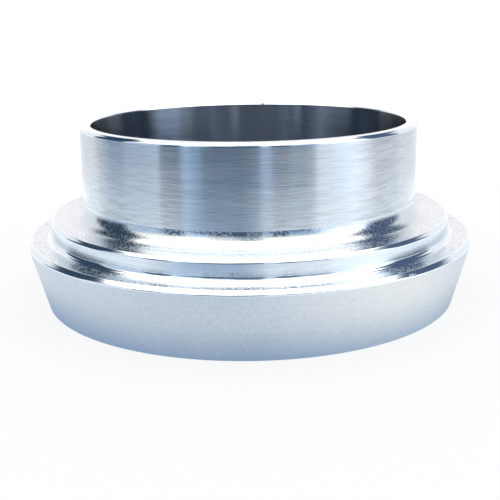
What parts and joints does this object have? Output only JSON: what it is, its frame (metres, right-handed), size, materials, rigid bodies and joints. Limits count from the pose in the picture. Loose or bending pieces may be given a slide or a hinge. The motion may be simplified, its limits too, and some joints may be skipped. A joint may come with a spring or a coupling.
{
  "type": "dairy union male part",
  "caption": "Turned stainless ring for a screwed dairy pipe union: welding stub, nut collar and shoulder, and a tapered seat with a flat sealing face.",
  "frame": {"origin": "middle of the flat sealing face, at the bottom of the part", "axes": "+Z along the bore, from the sealing face to the welding end; X and Y are alike, because the part is a body of revolution"},
  "size_m": [0.068, 0.068, 0.0266],
  "materials": {
    "stainless": "fine turned and satin stainless steel, brighter on the bevels and the collar"
  },
  "bodies": {
    "root": {"union_male_part": "stainless"}
  },
  "joints": []
}
